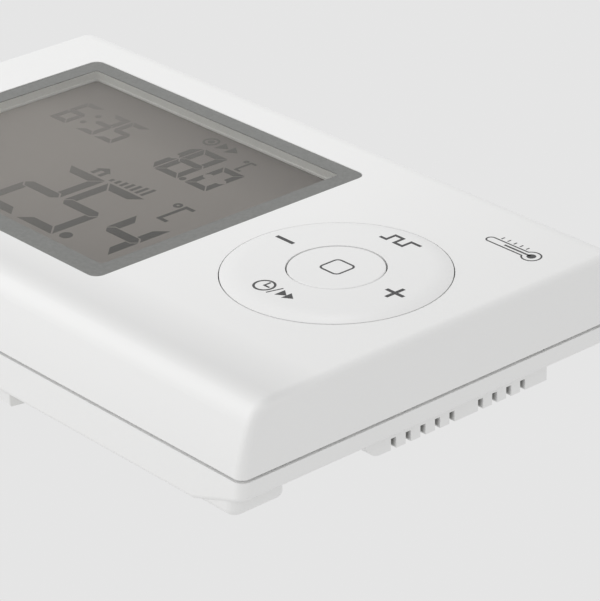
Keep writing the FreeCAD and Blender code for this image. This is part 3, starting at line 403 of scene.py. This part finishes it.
# %% Slabs from outlines
class Ink:
    """Collects flat shapes and turns them into one mesh lying on a face."""

    def __init__(self, name, centre_x, centre_z, face_y, thickness):
        self.name = name
        self.origin = Vector((centre_x, 0, centre_z))
        self.face_y = face_y
        self.thickness = thickness
        self.mesh = bmesh.new()

    def slab(self, outline):
        """A filled convex outline."""
        front = []
        back = []
        for x, z in outline:
            flat = self.origin + Vector((x * MM, 0, z * MM))
            front.append(self.mesh.verts.new((flat.x, self.face_y - self.thickness, flat.z)))
            back.append(self.mesh.verts.new((flat.x, self.face_y, flat.z)))
        self.mesh.faces.new(front)
        self.mesh.faces.new(back[::-1])
        for i in range(len(front)):
            j = (i + 1) % len(front)
            self.mesh.faces.new((front[j], front[i], back[i], back[j]))

    def band(self, inner, outer, closed=True):
        """The strip between two outlines with as many points each."""
        rings = []
        for outline in (inner, outer):
            for depth in (self.thickness, 0.0):
                ring = []
                for x, z in outline:
                    flat = self.origin + Vector((x * MM, 0, z * MM))
                    ring.append(self.mesh.verts.new((flat.x, self.face_y - depth, flat.z)))
                rings.append(ring)
        inner_front, inner_back, outer_front, outer_back = rings
        count = len(inner_front)
        for i in range(count if closed else count - 1):
            j = (i + 1) % count
            self.mesh.faces.new((inner_front[i], inner_front[j], outer_front[j], outer_front[i]))
            self.mesh.faces.new((outer_back[i], outer_back[j], inner_back[j], inner_back[i]))
            self.mesh.faces.new((outer_front[i], outer_front[j], outer_back[j], outer_back[i]))
            self.mesh.faces.new((inner_back[i], inner_back[j], inner_front[j], inner_front[i]))
        if not closed:
            self.mesh.faces.new((inner_front[0], outer_front[0], outer_back[0], inner_back[0]))
            self.mesh.faces.new((outer_front[-1], inner_front[-1], inner_back[-1], outer_back[-1]))

    def disc(self, x, z, radius, steps=32):
        self.slab(circle(x, z, radius, steps))

    def loop(self, x, z, radius, width, steps=48):
        self.band(circle(x, z, radius - width, steps), circle(x, z, radius, steps))

    def line(self, points, width, closed=False):
        """A line of even width with mitred corners."""
        inner = offset(points, -width / 2, closed)
        outer = offset(points, width / 2, closed)
        self.band(inner, outer, closed)

    def bar(self, x, z, width, height):
        self.slab([(x - width / 2, z - height / 2), (x + width / 2, z - height / 2),
                   (x + width / 2, z + height / 2), (x - width / 2, z + height / 2)])

    def finish(self, finish, body, slot):
        bmesh.ops.recalc_face_normals(self.mesh, faces=self.mesh.faces[:])
        data = bpy.data.meshes.new(self.name)
        self.mesh.to_mesh(data)
        self.mesh.free()
        piece = bpy.data.objects.new(self.name, data)
        bpy.context.scene.collection.objects.link(piece)
        data.materials.append(finish.material)
        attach(piece, body)
        print(self.name, len(data.polygons), "faces")
        return piece


def circle(x, z, radius, steps):
    turn = [2 * math.pi * i / steps for i in range(steps)]
    return [(x + radius * math.cos(a), z + radius * math.sin(a)) for a in turn]


def offset(points, by, closed):
    """Each point moved sideways, along the bisector of its corner."""
    count = len(points)
    moved = []
    for i, (x, z) in enumerate(points):
        ways = []
        if closed or i > 0:
            px, pz = points[i - 1]
            ways.append(Vector((x - px, z - pz)).normalized())
        if closed or i < count - 1:
            nx, nz = points[(i + 1) % count]
            ways.append(Vector((nx - x, nz - z)).normalized())
        sides = [Vector((-w.y, w.x)) for w in ways]
        middle = sum(sides, Vector((0, 0))).normalized()
        reach = by / max(middle.dot(sides[0]), 0.3)
        moved.append((x + middle.x * reach, z + middle.y * reach))
    return moved


def rounded_square(x, z, side, radius, steps=8):
    points = []
    half = side / 2 - radius
    for quarter, (sx, sz) in enumerate(((1, 1), (-1, 1), (-1, -1), (1, -1))):
        for i in range(steps + 1):
            angle = math.pi / 2 * (quarter + i / steps)
            points.append((x + sx * half + radius * math.cos(angle), z + sz * half + radius * math.sin(angle)))
    return points


print("ink tools ready")

# %% [markdown]
# ## Symbols on the keys
# Pad printing leaves a dense, slightly matt dark grey. The ring carries a minus, a plus, a clock with a
# double arrow, and a stepped line for the daily programme; the centre key carries a rounded square.

# %% Print the keys
INK = 0.00002
SINK = 0.000004


def printed(name, dark, light):
    finish = Finish(name, Roughness=0.5)
    finish.feed("Base Color", finish.tint(finish.noise(6000.0), dark, light))
    finish.feed("Roughness", 0.45 + finish.noise(1500.0) * 0.12)
    return finish


key_ink = printed("key_ink", (0.040, 0.040, 0.041), (0.060, 0.060, 0.061))
ring_print = Ink("ring_symbols", KEY.x, KEY.z, RING_FRONT + SINK, INK + SINK)
ring_print.bar(-14.35, 1.0, 4.4, 0.78)
ring_print.bar(14.3, 0.3, 4.2, 0.74)
ring_print.bar(14.3, 0.3 + 1.235, 0.74, 1.73)
ring_print.bar(14.3, 0.3 - 1.235, 0.74, 1.73)

PROGRAMME = [(-4.0, -1.1), (-2.4, -1.1), (-2.4, 1.1), (-0.4, 1.1), (-0.4, -1.1), (1.6, -1.1), (1.6, 1.1),
             (4.0, 1.1)]
ring_print.line([(x, z + 14.9) for x, z in PROGRAMME], 0.6)

CLOCK = (-3.1, -13.5)
ring_print.loop(CLOCK[0], CLOCK[1], 2.05, 0.42)
ring_print.line([(CLOCK[0], CLOCK[1] + 1.45), (CLOCK[0], CLOCK[1]), (CLOCK[0] + 1.3, CLOCK[1])], 0.4)
ring_print.line([(-0.85, -15.1), (0.05, -12.0)], 0.3)
for left in (0.75, 2.45):
    ring_print.slab([(left, -14.65), (left + 1.75, -13.45), (left, -12.25)])
ring_print.finish(key_ink, "ring_key", "grey_print")

button_print = Ink("button_symbol", KEY.x, KEY.z, BUTTON_FRONT + SINK, INK + SINK)
button_print.line(rounded_square(0.05, 0.15, 4.5, 0.9), 0.38, True)
button_print.finish(key_ink, "button", "grey_print")

# %% [markdown]
# ## A generic mark on the cover
# A small lying thermometer sits where such a unit carries a mark. It is a plain pictogram: a capsule outline,
# a bulb, and a few scale ticks.

# %% Print the cover
MARK_X = 59.6
MARK_Z = 28.2
STEM = 4.9
mark = Ink("cover_mark", MARK_X * MM, MARK_Z * MM, COVER_FRONT + SINK, INK + SINK)


def thermometer_outline(steps=20):
    """Bulb on the right, stem with a round end on the left."""
    bulb_r = 1.75
    stem_r = 0.85
    joint = math.asin(stem_r / bulb_r)
    points = []
    for i in range(steps + 1):
        angle = -math.pi + joint + (2 * math.pi - 2 * joint) * i / steps
        points.append((STEM + bulb_r * math.cos(angle), bulb_r * math.sin(angle)))
    for i in range(steps + 1):
        angle = math.pi / 2 + math.pi * i / steps
        points.append((-STEM + stem_r * math.cos(angle), stem_r * math.sin(angle)))
    return points


mark.line(thermometer_outline(), 0.3, True)
mark.disc(STEM, 0, 0.85)
mark.bar(STEM / 2 - 0.9, 0, STEM + 1.4, 0.42)
for tick in range(5):
    mark.bar(-STEM + 1.2 + tick * 1.5, 1.75, 0.26, 0.8)
mark.finish(key_ink, "unit", "grey_print")

# %% [markdown]
# ## Digits on the display
# A seven-segment digit is seven bars with mitred ends and a hair of space between neighbours. Each digit is
# worked out from its width, height and stroke, so one function draws every size on the glass. The digits'
# dark tint grows paler towards the left, a ramp along X.

# %% Seven-segment digits
LIT = {"0": "abcdef", "1": "bc", "2": "abged", "3": "abgcd", "4": "fgbc", "5": "afgcd", "6": "afgedc",
       "8": "abcdefg"}


def outlines(x0, x1, z0, z1, stroke, gap):
    """The seven segments of a digit in its box, with mitred ends."""
    middle = (z0 + z1) / 2
    half = stroke / 2
    bar_top = [(x0 + gap, z1), (x1 - gap, z1), (x1 - stroke - gap, z1 - stroke), (x0 + stroke + gap, z1 - stroke)]
    post = [(x0, z1 - gap), (x0 + stroke, z1 - stroke - gap), (x0 + stroke, middle + half + gap),
            (x0 + half, middle + half + gap), (x0, middle + gap)]
    centre_bar = [(x0 + gap, middle), (x0 + gap + half, middle + half), (x1 - gap - half, middle + half),
                  (x1 - gap, middle), (x1 - gap - half, middle - half), (x0 + gap + half, middle - half)]

    def flip_x(points):
        return [(x0 + x1 - x, z) for x, z in points]

    def flip_z(points):
        return [(x, 2 * middle - z) for x, z in points]

    return {"a": bar_top, "b": flip_x(post), "c": flip_x(flip_z(post)), "d": flip_z(bar_top),
            "e": flip_z(post), "f": post, "g": centre_bar}


def digit(ink, character, x, z, width, height, stroke, gap=0.25):
    """x and z are the digit's lower left corner."""
    shapes = outlines(x, x + width, z, z + height, stroke, gap)
    for name in LIT[character]:
        ink.slab(shapes[name])


def degree_unit(ink, x, z, size):
    """A small ring and a C, with the C's lower left corner at x, z."""
    ink.loop(x - size * 0.22, z + size * 0.93, size * 0.15, size * 0.1, 20)
    stroke = size * 0.13
    left = x + stroke / 2
    right = x + size * 0.42
    ink.line([(right, z + size), (left, z + size), (left, z), (right, z)], stroke)


print("segments ready")

# %% Lay out the display
lcd_ink = Finish("lcd_ink", Roughness=0.5)
FADE_X = (0.006, -0.037)
fade = lcd_ink.ramp(lcd_ink.axis(0), *FADE_X)
lcd_ink.feed("Base Color", lcd_ink.tint(fade, (0.050, 0.048, 0.046), (0.196, 0.184, 0.177)))
lcd_ink.feed("Roughness", 0.45 + lcd_ink.noise(1500.0) * 0.12)
digits = Ink("lcd_digits", 0.0, 0.0, GLASS_FRONT + SINK, INK + SINK)

BIG_Z = -22.9
for number, left in (("2", -25.95), ("5", -14.4)):
    digit(digits, number, left, BIG_Z, 10.35, 21.3, 2.2)
digits.disc(-1.85, BIG_Z + 1.6, 1.25, 24)
digit(digits, "4", 0.35, BIG_Z + 1.6, 9.35, 14.5, 2.15)
degree_unit(digits, 3.45, -4.75, 6.3)

SET_Z = 8.6
digit(digits, "1", -20.2, SET_Z, 5.7, 12.4, 1.6, 0.2)
digit(digits, "8", -14.1, SET_Z, 6.6, 12.4, 1.6, 0.2)
digits.disc(-6.6, SET_Z + 0.75, 0.7, 20)
digit(digits, "0", -5.3, SET_Z, 5.95, 9.6, 1.5, 0.2)
degree_unit(digits, -3.4, 19.1, 3.9)

TIME_Z = 9.95
for number, left in (("6", -47.5), ("3", -39.3), ("5", -33.7)):
    digit(digits, number, left, TIME_Z, 4.9, 9.65, 1.3, 0.15)
for dot in (2.9, 6.6):
    digits.disc(-40.7, TIME_Z + dot, 0.65, 20)
digits.finish(lcd_ink, "unit", "lcd_glass")

# %% [markdown]
# ## Symbols on the display
# Above the two temperatures the glass shows what they mean: a house for the room and a target for the set
# value. Both are drawn as outlines in the same ink as the digits.

# %% House and target
icons = Ink("lcd_icons", 0.0, 0.0, GLASS_FRONT + SINK, INK + SINK)
ROOM_Z = -0.95
ROOM_X = -21.5
ROOM_TALL = 3.5
roof = [(ROOM_X, ROOM_Z + 1.9), (ROOM_X + 2.1, ROOM_Z + ROOM_TALL), (ROOM_X + 4.2, ROOM_Z + 1.9)]
icons.slab(roof)
icons.bar(ROOM_X + 1.05, ROOM_Z + 0.95, 0.95, 1.9)
icons.bar(ROOM_X + 3.15, ROOM_Z + 0.95, 0.95, 1.9)
for step in range(7):
    tall = 1.0 + step * 0.4
    icons.bar(ROOM_X + 6.4 + step * 1.5, ROOM_Z + tall / 2, 0.8, tall)

SET_MARK_X = -17.8
SET_MARK_Z = 24.2
icons.loop(SET_MARK_X + 1.7, SET_MARK_Z, 1.7, 0.5)
icons.disc(SET_MARK_X + 1.7, SET_MARK_Z, 0.7, 20)
for left in (4.3, 7.0):
    icons.slab([(SET_MARK_X + left, SET_MARK_Z - 1.5), (SET_MARK_X + left + 2.3, SET_MARK_Z),
                (SET_MARK_X + left, SET_MARK_Z + 1.5)])
icons.finish(lcd_ink, "unit", "lcd_glass")

# %% [markdown]
# ## Stage, light and camera
# A pale world lights the white casing evenly, as a light tent does, and four large area lamps add direction. A
# weak one stands in front. One in front and one behind, both low on the left, graze the lower long side and its
# shoulder, and one straight below lights that side and the corner. A soft spot lays a brighter pool on the
# display's end of the face. The floor lies far below, so that it shows under the unit from the side but never
# cuts through a view from underneath.

# %% World and floor
WORLD_GREY = (0.785, 0.785, 0.785, 1)
scene = bpy.context.scene
scene.view_settings.view_transform = "Standard"
world = bpy.data.worlds.new("pale_studio")
scene.world = world
world.use_nodes = True
world.node_tree.nodes["Background"].inputs["Color"].default_value = WORLD_GREY
world.node_tree.nodes["Background"].inputs["Strength"].default_value = 1.0

FLOOR_Z = -0.75
FLOOR_HALF = 3.0
floor_mesh = bmesh.new()
corners = ((-1, -1), (1, -1), (1, 1), (-1, 1))
floor_mesh.faces.new([floor_mesh.verts.new((x * FLOOR_HALF, y * FLOOR_HALF, FLOOR_Z)) for x, y in corners])
floor_data = bpy.data.meshes.new("studio_floor")
floor_mesh.to_mesh(floor_data)
floor_mesh.free()
floor = bpy.data.objects.new("studio_floor", floor_data)
scene.collection.objects.link(floor)
floor_finish = Finish("floor_paper", Roughness=0.9)
floor_finish.feed("Base Color", floor_finish.tint(floor_finish.noise(3.0), (0.80, 0.80, 0.80), (0.82, 0.82, 0.82)))
floor_data.materials.append(floor_finish.material)
print("floor at", FLOOR_Z)

# %% Lamps
def lamp(name, place, aim, size, watts):
    data = bpy.data.lights.new(name, "AREA")
    data.size = size
    data.energy = watts
    made = bpy.data.objects.new(name, data)
    made.location = place
    made.rotation_euler = (Vector(aim) - Vector(place)).to_track_quat("-Z", "Y").to_euler()
    scene.collection.objects.link(made)
    return made


lamp("front_broad", (-0.1, -0.9, 0.1), (0, 0, 0), 0.8, 0.25)
lamp("front_left", (-0.40, -0.35, -0.40), (0, 0, 0), 0.4, 0.82)
lamp("under_left", (-0.41, 0.13, -0.41), (0, 0, 0), 0.3, 0.12)
lamp("below", (0.16, -0.22, -0.58), (0.02, 0, 0), 0.5, 0.66)

POOL_AT = Vector((-0.043, COVER_FRONT, 0.034))
POOL_FROM = Vector((-0.2, -0.75, 0.2))
POOL_R = 0.104
POOL_WATTS = 3.5
pool_data = bpy.data.lights.new("left_pool", "SPOT")
pool_data.energy = POOL_WATTS
pool_data.shadow_soft_size = 0.05
pool_data.spot_blend = 0.45
pool = bpy.data.objects.new("left_pool", pool_data)
pool.location = POOL_AT + POOL_FROM
beam = POOL_AT - pool.location
pool_data.spot_size = 2 * math.atan(POOL_R / beam.length)
pool.rotation_euler = beam.to_track_quat("-Z", "Y").to_euler()
scene.collection.objects.link(pool)
print("lamps:", len(bpy.data.lights))

# %% [markdown]
# ## Camera
# The camera looks up at the unit's lower right corner from below, through a long lens that flattens
# perspective. Its turn is written as three directions: where it looks, its right and its up.

# %% Camera
LENS = 191.97
CAMERA_AT = Vector((0.41397, -0.25831, -0.32698))
LOOK = Vector((-0.67982, 0.43759, 0.58853)).normalized()
RIGHT = Vector((0.66173, 0.02004, 0.74948))
RIGHT = (RIGHT - LOOK * RIGHT.dot(LOOK)).normalized()
UP = RIGHT.cross(LOOK)
camera_data = bpy.data.cameras.new("camera")
camera_data.lens = LENS
camera_data.clip_start = 0.01
camera = bpy.data.objects.new("camera", camera_data)
camera.matrix_world = Matrix.Translation(CAMERA_AT) @ Matrix((RIGHT, UP, -LOOK)).transposed().to_4x4()
scene.collection.objects.link(camera)
scene.camera = camera
print("camera", [round(v, 3) for v in CAMERA_AT])
